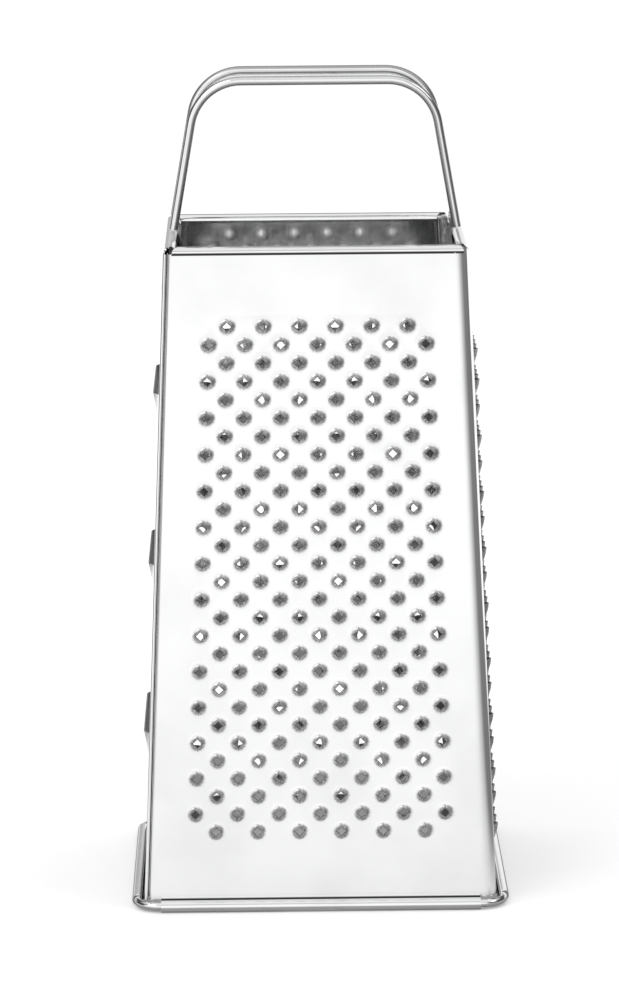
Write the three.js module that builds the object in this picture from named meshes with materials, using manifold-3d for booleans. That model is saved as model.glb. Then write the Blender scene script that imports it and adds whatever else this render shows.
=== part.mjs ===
// Four-sided kitchen grater. Four punched steel panels lock together at the corners, a wire
// ring stiffens the hems at the foot, and a strap handle is riveted inside the two side rims.
// Millimetres, +Z up, origin on the floor under the middle, front panel facing -Y.
import * as THREE from 'three';
import { ConvexGeometry } from 'three/addons/geometries/ConvexGeometry.js';
import { mergeGeometries, mergeVertices } from 'three/addons/utils/BufferGeometryUtils.js';
import Module from 'manifold-3d';

// Body
const SHEET = 0.4;               // panel sheet thickness
const CLEARANCE = 0.3;           // gap between neighbouring pieces
const RIM_HEIGHT = 185;          // floor to the top of the rim roll
const TOP_WIDTH = 83.2;          // outside of left panel to outside of right panel, at the rim
const BASE_WIDTH = 98;           // the same, just above the hem
const TOP_DEPTH = 61;            // outside of front panel to outside of back panel, at the rim
const BASE_DEPTH = 77.2;         // the same, just above the hem
const CORNER_BEND = 3;           // outer radius of the front right corner bend
const BACK_BEND = 1.5;           // outer radius of the two back corner bends
const SEAM_BEND = 0.45;          // outer radius of the tight bend beside the front left seam
const SEAM_STRIP = 0.8;          // flat strip between a corner bend and the folded edge
const SEAM_EASE = 0.24;          // cut across the square turns of the hooked sheet
const SEAM_LAP = 2.6;            // how far the two folded edges hook into each other

// Rim roll, hem and wire
const RIM_ROLL = 3.6;            // outer diameter of the rolled top edge
const RIM_LIP = 0.6;             // straight end of the roll, inside the body
const RIM_NOTCH = 0.45;          // from a corner to the end of a roll, as a share of the corner bend
const WIRE = 2.2;                // wire diameter
const WIRE_GAP = 0.15;           // between the wire and the hem wrapped round it
const WIRE_CORNER = 6;           // radius of the wire's corners, to its centreline
const WIRE_SPLIT = 0.6;          // gap between the wire's two ends, hidden in the back hem
const HEM_REACH = 2;             // wire centreline outside the panel face
const FLARE_HEIGHT = 4;          // where the panel starts to flare out to the hem
const HEM_RELIEF = 0.6;          // from the end of a hem to the wire's bend or the panel's fold

// Rasp side
const RASP_ROWS = 29;
const RASP_ROW_PITCH = 5.04;
const RASP_TOP_ROW = 163.4;      // height of the first row
const RASP_TOP_PITCH = 9.8;      // hole spacing along the first row
const RASP_BASE_PITCH = 11.6;    // hole spacing along the last row
const RASP_HOLES = 6;            // holes in the odd rows, one more in the even rows
const RASP_POINT = 4.8;          // raised point across its corners, at the panel
const RASP_LIP = 3;              // the same at the torn lip
const RASP_HOLE = 2.3;           // hole across its corners
const RASP_RISE = 1;             // height of the lip over the panel

// Shredder sides: the right one is coarse, the back one is fine. A tooth has an edge that faces up
// and an opening of height mouth above it, which on the fine side narrows to head.
const COARSE = {
  rows: 18, rowPitch: 7.91, topRow: 153.9, topPitch: 6.5, basePitch: 7.5, teeth: 6, evenExtra: 1,
  width: 5, crest: 2.8, rise: 2, length: 6, mouth: 0.6,
};
const FINE = {
  rows: 19, rowPitch: 7.84, topRow: 151.1, topPitch: 6.13, basePitch: 7.23, teeth: 11, evenExtra: -1,
  width: 4.2, crest: 0, rise: 1.3, length: 2.8, mouth: 4.2, head: 2,
};
const TOOTH_WALL = 0.5;          // sheet left at the sides of a tooth
const TOOTH_TOE = 0.8;           // sheet left at a tooth's lower end
const MOUTH_PIERCE = 0.1;        // how far the wide opening's cut stands out of the sheet

// Slicer side
const BLADES = 3;
const BLADE_TOP = 143;           // height of the uppermost edge
const BLADE_PITCH = 48.2;
const BLADE_LENGTH = 46;
const BLADE_RISE = 2;
const BLADE_RAMP = 7.7;          // height of the ramp under the edge
const BLADE_SLOT = 0.8;          // slot above the edge

// Handle
const STRAP = 0.6;               // strap thickness
const STRAP_SPAN = 24;           // between the centres of the two rolled edges
const STRAP_ROLL = 2.4;          // outer diameter of a rolled edge
const HANDLE_TOP = 229.1;        // floor to the top of the rolled edges
const HANDLE_BEND = 14;          // corner radius to the middle of the rolled edges
const HANDLE_LEAN = 10;          // legs from the vertical, in degrees
const HANDLE_FOOT = 2.1;         // rolled edges end this far above the rim
const HANDLE_INSET = 2.65;       // middle of the rolled edges inside the panel face, at their ends
const TONGUE_WIDTH = STRAP_SPAN - 2;     // flat end of the strap, inside the body
const TONGUE_DROP = 24;          // rim to the end of the tongue
const TONGUE_SETTLE = 8.5;       // rim to where the tongue lies against the panel

// Rivets
const RIVET_DROP = 16.5;         // rim to the rivets' axes
const RIVET_SPACING = STRAP_SPAN - 10;   // between the two rivets of one tongue
const RIVET_SHANK = 2.6;
const RIVET_HEAD = 6;
const RIVET_HEAD_HEIGHT = 0.5;
const RIVET_SEAT = 0.15;         // gap under the rivets' heads
const RIVET_CLINCH = 0.8;        // flat end of the clinched head, as a share of its width
const RIVET_SHOULDER = 0.7;      // shoulder of the outer head, as a share of its width
const RIVET_CROWN = 0.8;         // height of that shoulder, as a share of the head's

const STEEL = { color: 0xdadcdd, roughness: 0.2, metalness: 1 };
const BEND_STEPS = 5;            // facets in a quarter turn of a large bend
const FOLD_STEPS = 4;            // facets in a half turn of a small fold
const WIRE_SIDES = 8;
const OVERLAP = 0.4;             // how far joined bodies of one sheet run into each other

const ROLL_BASE = RIM_HEIGHT - RIM_ROLL / 2;

const wasm = await Module();
wasm.setup();

// Closed geometry as a solid that can be joined and cut
function solid(geometry) {
  const bare = geometry.clone();
  bare.deleteAttribute('normal');
  bare.deleteAttribute('uv');
  const merged = mergeVertices(bare);
  const vertProperties = new Float32Array(merged.attributes.position.array);
  const triVerts = new Uint32Array(merged.index.array);
  return new wasm.Manifold(new wasm.Mesh({ numProp: 3, vertProperties, triVerts }));
}

function geometryOf(manifold) {
  const { vertProperties, triVerts } = manifold.getMesh();
  const geometry = new THREE.BufferGeometry();
  geometry.setAttribute('position', new THREE.BufferAttribute(vertProperties, 3));
  geometry.setIndex(new THREE.BufferAttribute(triVerts, 1));
  geometry.computeVertexNormals();
  return geometry;
}

// Many separate bodies as one solid
function solidOfAll(geometries) {
  const bare = geometries.map((geometry) => {
    const positions = geometry.index ? geometry.toNonIndexed() : geometry;
    return new THREE.BufferGeometry().setAttribute('position', positions.attributes.position);
  });
  return solid(mergeGeometries(bare));
}

// Points on an arc, angles in degrees
function arc(x, y, radius, from, to, steps) {
  return Array.from({ length: steps + 1 }, (_, i) => {
    const angle = THREE.MathUtils.degToRad(from + ((to - from) * i) / steps);
    return new THREE.Vector2(x + radius * Math.cos(angle), y + radius * Math.sin(angle));
  });
}

// Outline of a bent sheet: its centreline thickened to both sides, with mitred corners
function sheetOutline(centreline, thickness) {
  const last = centreline.length - 1;
  const direction = (i) => centreline[i + 1].clone().sub(centreline[i]).normalize();
  const side = (distance) => centreline.map((point, i) => {
    const into = direction(Math.max(i - 1, 0));
    const out = direction(Math.min(i, last - 1));
    const mitre = new THREE.Vector2(-into.y - out.y, into.x + out.x).normalize();
    const stretch = 1 / (mitre.x * -into.y + mitre.y * into.x);
    return point.clone().addScaledVector(mitre, distance * stretch);
  });
  const outline = [...side(-thickness / 2), ...side(thickness / 2).reverse()];
  return THREE.ShapeUtils.isClockWise(outline) ? outline.reverse() : outline;
}

// Closed body through rings of points that all match one outline
function loft(outline, rings) {
  const count = outline.length;
  const index = [];
  for (let ring = 0; ring + 1 < rings.length; ring += 1) {
    for (let i = 0; i < count; i += 1) {
      const a = ring * count + i;
      const b = ring * count + ((i + 1) % count);
      index.push(a, b, b + count, a, b + count, a + count);
    }
  }
  const end = (rings.length - 1) * count;
  for (const [a, b, c] of THREE.ShapeUtils.triangulateShape(outline, [])) {
    index.push(c, b, a, end + a, end + b, end + c);
  }
  const geometry = new THREE.BufferGeometry().setFromPoints(rings.flat());
  geometry.setIndex(index);
  return geometry;
}

// Sheet folded in the plane of the page and run along X between two mitred ends
function foldedEdge(centreline, leftEnd, rightEnd) {
  const outline = sheetOutline(centreline, SHEET);
  const ring = (end) => outline.map((point) => new THREE.Vector3(end(point.x), point.x, point.y));
  return loft(outline, [ring(leftEnd), ring(rightEnd)]);
}

// Corner seam: four layers of sheet, this panel's fold hooked into its neighbour's
const LAYER = SHEET + CLEARANCE;
const layerDepth = (layer) => SHEET / 2 + layer * LAYER;
const foldInset = (bend) => bend + SEAM_STRIP;
const foldCentre = (bend) => foldInset(bend) + LAYER + SHEET / 2;

// Plan of a panel's left edge, from the flap's end to the face: along the face, then into the body
function leftFold(bend) {
  const centre = foldCentre(bend);
  const flapEnd = new THREE.Vector2(centre + SEAM_LAP, layerDepth(2));
  return [flapEnd, ...arc(centre, layerDepth(1), LAYER, 90, 270, FOLD_STEPS)];
}

// Plan of a panel's right edge: round the corner, under the next panel's fold, and hooked back
function rightReturn(bend) {
  const dive = foldInset(bend) - CLEARANCE - SHEET / 2;
  const hookCentre = foldCentre(bend) + SEAM_LAP;
  const alongNext = [
    ...arc(bend, bend, bend - SHEET / 2, 180, 270, BEND_STEPS),
    new THREE.Vector2(dive - SEAM_EASE, layerDepth(0)),
    new THREE.Vector2(dive, layerDepth(0) + SEAM_EASE),
    new THREE.Vector2(dive, layerDepth(3) - SEAM_EASE),
    new THREE.Vector2(dive + SEAM_EASE, layerDepth(3)),
    ...arc(hookCentre, layerDepth(2), LAYER, 90, -90, FOLD_STEPS),
    new THREE.Vector2(foldCentre(bend), layerDepth(1)),
  ];
  return alongNext.map((point) => new THREE.Vector2(point.y, point.x));
}

// Leaning sheet with its corner folds, its rim roll and its hem, facing -Y
function blankPanel(panel) {
  const { topWidth, baseWidth, topReach, baseReach, leftBend, rightBend } = panel;
  const fromLeft = ({ x, y }) => new THREE.Vector2(x - baseWidth / 2, y - baseReach);
  const fromRight = ({ x, y }) => new THREE.Vector2(baseWidth / 2 - x, y - baseReach);
  const centreline = [...leftFold(leftBend).map(fromLeft), ...rightReturn(rightBend).map(fromRight)];
  const plan = sheetOutline(centreline, SHEET);
  const draw = (baseWidth - topWidth) / 2;
  const wall = loft(plan, [
    plan.map((point) => new THREE.Vector3(point.x, point.y, FLARE_HEIGHT)),
    plan.map((point) => new THREE.Vector3(
      point.x - Math.sign(point.x) * draw, point.y + baseReach - topReach, ROLL_BASE,
    )),
  ]);

  const rollMiddle = RIM_ROLL / 2 - topReach;
  const rollRadius = (RIM_ROLL - SHEET) / 2;
  const rollLine = [
    new THREE.Vector2(rollMiddle - rollRadius, ROLL_BASE - OVERLAP),
    ...arc(rollMiddle, ROLL_BASE, rollRadius, 180, 0, 2 * BEND_STEPS),
    new THREE.Vector2(rollMiddle + rollRadius, ROLL_BASE - RIM_LIP),
  ];
  const roll = foldedEdge(
    rollLine,
    (y) => foldInset(leftBend) - topWidth / 2 + y + topReach,
    (y) => topWidth / 2 - RIM_NOTCH * rightBend - y - topReach,
  );

  const wireBend = WIRE_CORNER - HEM_REACH;
  const hem = foldedEdge(
    hemLine(baseReach),
    () => Math.max(foldCentre(leftBend), wireBend) + HEM_RELIEF - baseWidth / 2,
    () => baseWidth / 2 - Math.max(rightBend, wireBend) - HEM_RELIEF,
  );
  return solid(wall).add(solid(roll)).add(solid(hem));
}

// Section of the hem: the sheet flares out and wraps the wire, with a flat under it to stand on
const HEM_RADIUS = WIRE / 2 + WIRE_GAP + SHEET / 2;
const WIRE_HEIGHT = HEM_RADIUS + SHEET / 2;

function hemLine(reach) {
  const facet = 360 / WIRE_SIDES;
  const cornerRadius = HEM_RADIUS / Math.cos(THREE.MathUtils.degToRad(facet / 2));
  const start = -facet / 2;
  const wraps = WIRE_SIDES - 2;
  return [
    new THREE.Vector2(SHEET / 2 - reach, FLARE_HEIGHT + OVERLAP),
    new THREE.Vector2(SHEET / 2 - reach, FLARE_HEIGHT),
    ...arc(-reach - HEM_REACH, WIRE_HEIGHT, cornerRadius, start, start - wraps * facet, wraps),
  ];
}

// Placement on a panel's outer face: X along it, Y up its slope, Z outwards
function faceReach(panel, height) {
  const rise = (height - FLARE_HEIGHT) / (ROLL_BASE - FLARE_HEIGHT);
  return THREE.MathUtils.lerp(panel.baseReach, panel.topReach, rise);
}

function onFace(panel, across, height) {
  const lean = Math.atan2(panel.baseReach - panel.topReach, ROLL_BASE - FLARE_HEIGHT);
  const place = new THREE.Matrix4().makeRotationX(Math.PI / 2 - lean);
  return place.setPosition(across, -faceReach(panel, height), height);
}

// Staggered rows that fan out downwards: place is called with each hole's place across and its row
function staggered(rows, count, evenExtra, topPitch, basePitch, place) {
  for (let row = 0; row < rows; row += 1) {
    const holes = count + (row % 2 === 1 ? evenExtra : 0);
    const pitch = THREE.MathUtils.lerp(topPitch, basePitch, row / (rows - 1));
    for (let i = 0; i < holes; i += 1) {
      place((i - (holes - 1) / 2) * pitch, row);
    }
  }
}

// Rasp side: pierced points with a diamond hole and a raised torn lip
function raspPanel(panel) {
  const points = [];
  const holes = [];
  const point = new THREE.CylinderGeometry(RASP_LIP / 2, RASP_POINT / 2, RASP_RISE + SHEET / 2, 4);
  point.rotateX(Math.PI / 2).translate(0, 0, (RASP_RISE - SHEET / 2) / 2);
  const hole = new THREE.CylinderGeometry(RASP_HOLE / 2, RASP_HOLE / 2, 2 * (RASP_RISE + SHEET), 4);
  hole.rotateX(Math.PI / 2);
  staggered(RASP_ROWS, RASP_HOLES, 1, RASP_TOP_PITCH, RASP_BASE_PITCH, (across, row) => {
    const place = onFace(panel, across, RASP_TOP_ROW - row * RASP_ROW_PITCH);
    points.push(point.clone().applyMatrix4(place));
    holes.push(hole.clone().applyMatrix4(place));
  });
  return blankPanel(panel).add(solidOfAll(points)).subtract(solidOfAll(holes));
}

// Shredder tooth: a hood whose edge faces up, and the hollow behind a deep one with its slot
const endsOf = (width) => (width > 0 ? [-width / 2, width / 2] : [0]);

function hood(width, crest, top, rise, back, length) {
  return new ConvexGeometry([
    new THREE.Vector3(-width / 2, top, -back),
    new THREE.Vector3(width / 2, top, -back),
    new THREE.Vector3(0, -length, -back),
    ...endsOf(crest).map((across) => new THREE.Vector3(across, top, rise)),
  ]);
}

function slottedHollow({ width, crest, rise, length, mouth }) {
  const inside = width - 2 * TOOTH_WALL;
  return hood(inside, crest - SHEET, mouth, rise - SHEET, 2 * SHEET, length - TOOTH_TOE);
}

// The hollow behind a low tooth and the wide opening above its edge
function openHollow({ width, rise, length, mouth, head }) {
  const edge = endsOf(width - 2 * TOOTH_WALL).map((x) => [x, 0]);
  const rims = [...edge, ...endsOf(head).map((x) => [x, mouth])];
  return new ConvexGeometry([
    new THREE.Vector3(0, TOOTH_TOE - length, -2 * SHEET),
    ...rims.flatMap(([x, y]) => [-2 * SHEET, MOUTH_PIERCE].map((z) => new THREE.Vector3(x, y, z))),
    new THREE.Vector3(0, 0, rise - SHEET),
  ]);
}

function shredderPanel(panel, cut, opening) {
  const tooth = hood(cut.width, cut.crest, 0, cut.rise, SHEET / 2, cut.length);
  const teeth = [];
  const openings = [];
  staggered(cut.rows, cut.teeth, cut.evenExtra, cut.topPitch, cut.basePitch, (across, row) => {
    const place = onFace(panel, across, cut.topRow - row * cut.rowPitch);
    teeth.push(tooth.clone().applyMatrix4(place));
    openings.push(opening.clone().applyMatrix4(place));
  });
  return blankPanel(panel).add(solidOfAll(teeth)).subtract(solidOfAll(openings));
}

// Slicer side: long ramps whose raised edge faces up over a slot
function ramp(length, profile) {
  const shape = new THREE.Shape(profile);
  const geometry = new THREE.ExtrudeGeometry(shape, { depth: length, bevelEnabled: false, steps: 1 });
  const turned = new THREE.Matrix4().makeBasis(
    new THREE.Vector3(0, 0, 1), new THREE.Vector3(0, 1, 0), new THREE.Vector3(-1, 0, 0),
  );
  return geometry.applyMatrix4(turned).translate(length / 2, 0, 0);
}

function slicerPanel(panel) {
  const rampAt = (up) => (BLADE_RISE * (up + BLADE_RAMP)) / BLADE_RAMP;
  const behind = 2 * SHEET;
  const foot = -BLADE_RAMP * (1 + SHEET / BLADE_RISE);
  const outer = ramp(BLADE_LENGTH, [
    new THREE.Vector2(-SHEET / 2, -BLADE_RAMP), new THREE.Vector2(0, -BLADE_RAMP),
    new THREE.Vector2(BLADE_RISE, 0), new THREE.Vector2(-SHEET / 2, 0),
  ]);
  const inner = ramp(BLADE_LENGTH - 2 * SHEET, [
    new THREE.Vector2(-behind, foot), new THREE.Vector2(rampAt(foot) - SHEET, foot),
    new THREE.Vector2(rampAt(BLADE_SLOT) - SHEET, BLADE_SLOT), new THREE.Vector2(-behind, BLADE_SLOT),
  ]);
  const ramps = [];
  const slots = [];
  for (let i = 0; i < BLADES; i += 1) {
    const place = onFace(panel, 0, BLADE_TOP - i * BLADE_PITCH);
    ramps.push(outer.clone().applyMatrix4(place));
    slots.push(inner.clone().applyMatrix4(place));
  }
  return blankPanel(panel).add(solidOfAll(ramps)).subtract(solidOfAll(slots));
}

// Rivet holes, through a side panel and the tongue behind it
const rivetPlaces = [-RIVET_SPACING / 2, RIVET_SPACING / 2];
const RIVET_HEIGHT = RIM_HEIGHT - RIVET_DROP;

function drillRivets(body, panel) {
  const radius = RIVET_SHANK / 2 + CLEARANCE;
  const depth = RIM_ROLL;
  const drill = new THREE.CylinderGeometry(radius, radius, 2 * depth, WIRE_SIDES).rotateX(Math.PI / 2);
  const places = rivetPlaces.map((across) => onFace(panel, across, RIVET_HEIGHT));
  return body.subtract(solidOfAll(places.map((place) => drill.clone().applyMatrix4(place))));
}

// Rivet along Z: a low head outside, a shank and a clinched head inside
function rivetGeometry() {
  const shank = RIVET_SHANK / 2;
  const head = RIVET_HEAD / 2;
  const outer = RIVET_SEAT;
  const inner = -(SHEET + CLEARANCE + STRAP + RIVET_SEAT);
  const profile = [
    [0, inner - RIVET_HEAD_HEIGHT], [head * RIVET_CLINCH, inner - RIVET_HEAD_HEIGHT], [head, inner],
    [shank, inner], [shank, outer], [head, outer],
    [head * RIVET_SHOULDER, outer + RIVET_HEAD_HEIGHT * RIVET_CROWN], [0, outer + RIVET_HEAD_HEIGHT],
  ].map(([radius, along]) => new THREE.Vector2(radius, along));
  return new THREE.LatheGeometry(profile, 2 * WIRE_SIDES).rotateX(Math.PI / 2);
}

// Base wire: a rounded rectangle of round wire, its ends meeting behind the back panel
function baseWire() {
  const halfWidth = BASE_WIDTH / 2 + HEM_REACH;
  const halfDepth = BASE_DEPTH / 2 + HEM_REACH;
  const across = halfWidth - WIRE_CORNER;
  const along = halfDepth - WIRE_CORNER;
  const corners = [[across, along, 90], [across, -along, 0], [-across, -along, -90], [-across, along, -180]];
  const path = [
    new THREE.Vector2(WIRE_SPLIT / 2, halfDepth),
    ...corners.flatMap(([x, y, from]) => arc(x, y, WIRE_CORNER, from, from - 90, BEND_STEPS)),
    new THREE.Vector2(-WIRE_SPLIT / 2, halfDepth),
  ];
  const facet = 180 / WIRE_SIDES;
  const section = arc(0, 0, WIRE / 2, facet, facet + 360, WIRE_SIDES).slice(0, WIRE_SIDES);
  const last = path.length - 1;
  const rings = path.map((point, i) => {
    const ahead = path[Math.min(i + 1, last)].clone().sub(path[Math.max(i - 1, 0)]).normalize();
    return section.map((spot) => new THREE.Vector3(
      point.x - ahead.y * spot.x, point.y + ahead.x * spot.x, WIRE_HEIGHT + spot.y,
    ));
  });
  return loft(section, rings);
}

// Strap handle: centreline of the web, seen from the front, from one rim to the middle of the top
const lean = THREE.MathUtils.degToRad(HANDLE_LEAN);
const ROLL_OFFSET = (STRAP_ROLL - STRAP) / 2;
const webTop = HANDLE_TOP - STRAP_ROLL + STRAP / 2;
const webBend = HANDLE_BEND - ROLL_OFFSET;
const webFoot = RIM_HEIGHT + HANDLE_FOOT;
const webHalf = TOP_WIDTH / 2 - HANDLE_INSET - ROLL_OFFSET * Math.cos(lean);

function webCorner() {
  const sharp = webHalf - (webTop - webFoot) * Math.tan(lean);
  const setback = webBend * Math.tan((Math.PI / 2 - lean) / 2);
  return arc(sharp - setback, webTop - webBend, webBend, HANDLE_LEAN, 90, BEND_STEPS + 2);
}

function mirrored(points) {
  return points.map((point) => new THREE.Vector2(-point.x, point.y)).reverse();
}

// Tongue: in past the rim roll, then out against the panel
function tongueLine(panel) {
  const pastRoll = topInside(RIM_ROLL);
  const settled = RIM_HEIGHT - TONGUE_SETTLE;
  const end = RIM_HEIGHT - TONGUE_DROP;
  const against = (height) => faceReach(panel, height) - SHEET - CLEARANCE - STRAP / 2;
  return [
    new THREE.Vector2(webHalf - OVERLAP * Math.tan(lean), webFoot + OVERLAP),
    new THREE.Vector2(webHalf, webFoot),
    new THREE.Vector2(pastRoll, RIM_HEIGHT),
    new THREE.Vector2(pastRoll, ROLL_BASE - RIM_LIP - CLEARANCE),
    new THREE.Vector2(against(settled), settled),
    new THREE.Vector2(against(end), end),
  ];
}

const topInside = (inset) => TOP_WIDTH / 2 - inset - CLEARANCE - STRAP / 2;

function handleStrap(panel) {
  const half = [new THREE.Vector2(webHalf, webFoot), ...webCorner()];
  const path = [...half, ...mirrored(half)];
  const curl = arc(STRAP_SPAN / 2, ROLL_OFFSET, ROLL_OFFSET, -90, 180, BEND_STEPS + 1);
  const section = sheetOutline([...mirrored(curl), ...curl], STRAP);
  const last = path.length - 1;
  const rings = path.map((point, i) => {
    const into = point.clone().sub(path[Math.max(i - 1, 0)]).normalize();
    const out = path[Math.min(i + 1, last)].clone().sub(point).normalize();
    const along = into.add(out).normalize();
    return section.map((spot) => new THREE.Vector3(
      point.x + along.y * spot.y, spot.x, point.y - along.x * spot.y,
    ));
  });
  const strap = solid(loft(section, rings.reverse()));
  const tongueOutline = sheetOutline(tongueLine(panel), STRAP);
  const tongueRing = (side, y) => tongueOutline.map(({ x, y: z }) => new THREE.Vector3(side * x, y, z));
  const edge = TONGUE_WIDTH / 2;
  const rightTongue = solid(loft(tongueOutline, [tongueRing(1, edge), tongueRing(1, -edge)]));
  const leftTongue = solid(loft(tongueOutline, [tongueRing(-1, -edge), tongueRing(-1, edge)]));
  return strap.add(rightTongue).add(leftTongue);
}

// Assembly: every panel is made facing the front and turned to its side
function panelSize(topWidth, baseWidth, topDepth, baseDepth, leftBend, rightBend) {
  return { topWidth, baseWidth, topReach: topDepth / 2, baseReach: baseDepth / 2, leftBend, rightBend };
}

const front = panelSize(TOP_WIDTH, BASE_WIDTH, TOP_DEPTH, BASE_DEPTH, SEAM_BEND, CORNER_BEND);
const right = panelSize(TOP_DEPTH, BASE_DEPTH, TOP_WIDTH, BASE_WIDTH, CORNER_BEND, BACK_BEND);
const back = panelSize(TOP_WIDTH, BASE_WIDTH, TOP_DEPTH, BASE_DEPTH, BACK_BEND, BACK_BEND);
const left = panelSize(TOP_DEPTH, BASE_DEPTH, TOP_WIDTH, BASE_WIDTH, BACK_BEND, SEAM_BEND);

const grater = new THREE.Group();

function addPiece(name, geometry, turn) {
  const mesh = new THREE.Mesh(geometry, new THREE.MeshStandardMaterial(STEEL));
  mesh.name = name;
  mesh.rotation.z = turn;
  grater.add(mesh);
}

const coarsePanel = shredderPanel(right, COARSE, slottedHollow(COARSE));
const finePanel = shredderPanel(back, FINE, openHollow(FINE));

const QUARTER = Math.PI / 2;
addPiece('front_panel', geometryOf(raspPanel(front)), 0);
addPiece('right_panel', geometryOf(drillRivets(coarsePanel, right)), QUARTER);
addPiece('back_panel', geometryOf(finePanel), 2 * QUARTER);
addPiece('left_panel', geometryOf(drillRivets(slicerPanel(left), left)), -QUARTER);
addPiece('base_wire', baseWire(), 0);

// The tongues' rivet holes are drilled from both side panels
const turned = (manifold, angle) => solid(geometryOf(manifold).rotateZ(angle));
const drilledRight = drillRivets(turned(handleStrap(right), -QUARTER), right);
const drilledBoth = drillRivets(turned(drilledRight, 2 * QUARTER), left);
addPiece('handle_strap', geometryOf(turned(drilledBoth, -QUARTER)), 0);

for (const [side, panel, turn] of [['right', right, QUARTER], ['left', left, -QUARTER]]) {
  for (const across of rivetPlaces) {
    const end = across * Math.sin(turn) < 0 ? 'front' : 'back';
    const rivet = rivetGeometry().applyMatrix4(onFace(panel, across, RIVET_HEIGHT));
    addPiece(`rivet_${side}_${end}`, rivet, turn);
  }
}

export default grater;
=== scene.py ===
"""Visual model of a four-sided kitchen grater in polished sheet steel.

Every pressed or bent piece is modelled in millimetres with edit-mode operators, gets its sheet
thickness from a modifier, is turned to its side and scaled to metres, and then stands for the
CAD node of its name.
"""

import logging
import math
from dataclasses import dataclass
from enum import Enum
from typing import Callable, Iterator, Mapping, Sequence

import bmesh
import bpy
from mathutils import Matrix, Vector

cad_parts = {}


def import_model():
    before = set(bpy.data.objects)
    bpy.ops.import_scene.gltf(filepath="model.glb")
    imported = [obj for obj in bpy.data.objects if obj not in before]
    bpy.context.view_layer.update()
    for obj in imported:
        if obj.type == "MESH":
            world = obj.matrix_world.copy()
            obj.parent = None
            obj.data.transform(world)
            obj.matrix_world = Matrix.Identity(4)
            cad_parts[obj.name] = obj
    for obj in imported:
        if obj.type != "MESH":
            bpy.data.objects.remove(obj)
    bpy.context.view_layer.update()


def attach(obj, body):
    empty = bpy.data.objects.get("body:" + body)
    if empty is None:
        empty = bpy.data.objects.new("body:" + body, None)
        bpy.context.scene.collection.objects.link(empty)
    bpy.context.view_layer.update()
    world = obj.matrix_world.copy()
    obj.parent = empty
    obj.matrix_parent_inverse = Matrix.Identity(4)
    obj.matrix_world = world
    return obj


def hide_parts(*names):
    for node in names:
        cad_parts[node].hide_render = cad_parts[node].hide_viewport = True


MM = 0.001
TOUCH = 1e-3  # places closer than this, in millimetres, count as one
WELD = 1e-4  # vertices closer than this, in millimetres, are merged
OUTWARD = 0.2  # a normal with more than this across a panel faces out of it or into it
# Vertex marks read by the finish. This one makes metal rougher and darkens it with painted shade:
# raised punched metal, as a painted dark reflection, and the under and inner sides of the handle's
# rolled edges.
ROUGH_AND_SHADE = "rough_and_shade"
# Inner side of a panel: a little rougher, and darkened with painted shade, more so towards the rim.
INNER = "inner"
# Painted shade in the crevice over the hem and under the rim bead.
CREVICE = "crevice"
LOG = logging.getLogger("grater")

Plan = tuple[float, float]
Spot = tuple[float, float, float]
Ramp = tuple[Plan, Plan]
Piece = bpy.types.Object
Socket = bpy.types.NodeSocket
Patterns = list[tuple[Piece, list[Matrix]]]


class Side(Enum):
    """The four sides of the body, with the turn that brings a front-facing panel there."""

    FRONT = 0.0
    RIGHT = 90.0
    BACK = 180.0
    LEFT = -90.0

    @property
    def turn(self) -> float:
        """Turn about the upright axis, in radians."""
        return math.radians(self.value)


class Grain(Enum):
    """Direction of the polishing lines, as stretches along X, Y and Z."""

    UPRIGHT = (1.0, 1.0, 0.012)
    ALL_WAYS = (1.0, 1.0, 1.0)


def arc(centre: Plan, radius: float, start: float, end: float, steps: int) -> list[Plan]:
    """Points along an arc between two angles in degrees, in straight pieces, ends included."""
    angles = [math.radians(start + (end - start) * i / steps) for i in range(steps + 1)]
    return [(centre[0] + radius * math.cos(a), centre[1] + radius * math.sin(a)) for a in angles]


def softened(points: Sequence[Plan], reach: float, steps: int) -> list[Plan]:
    """A bent line with its inner corners rounded.

    Args:
        points: Corners of the line.
        reach: How far from a corner its rounding starts.
        steps: Straight pieces in each rounding.

    Returns:
        The rounded line, with the same two ends.
    """
    line = [points[0]]
    for before, corner, after in zip(points, points[1:], points[2:]):
        here, back, ahead = Vector(corner), Vector(before), Vector(after)
        start = here + (back - here).normalized() * min(reach, (back - here).length / 2)
        end = here + (ahead - here).normalized() * min(reach, (ahead - here).length / 2)
        for i in range(steps + 1):
            t = i / steps
            spot = start * (1 - t) ** 2 + here * (2 * t * (1 - t)) + end * t**2
            line.append((spot.x, spot.y))
    line.append(points[-1])
    return line


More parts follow.
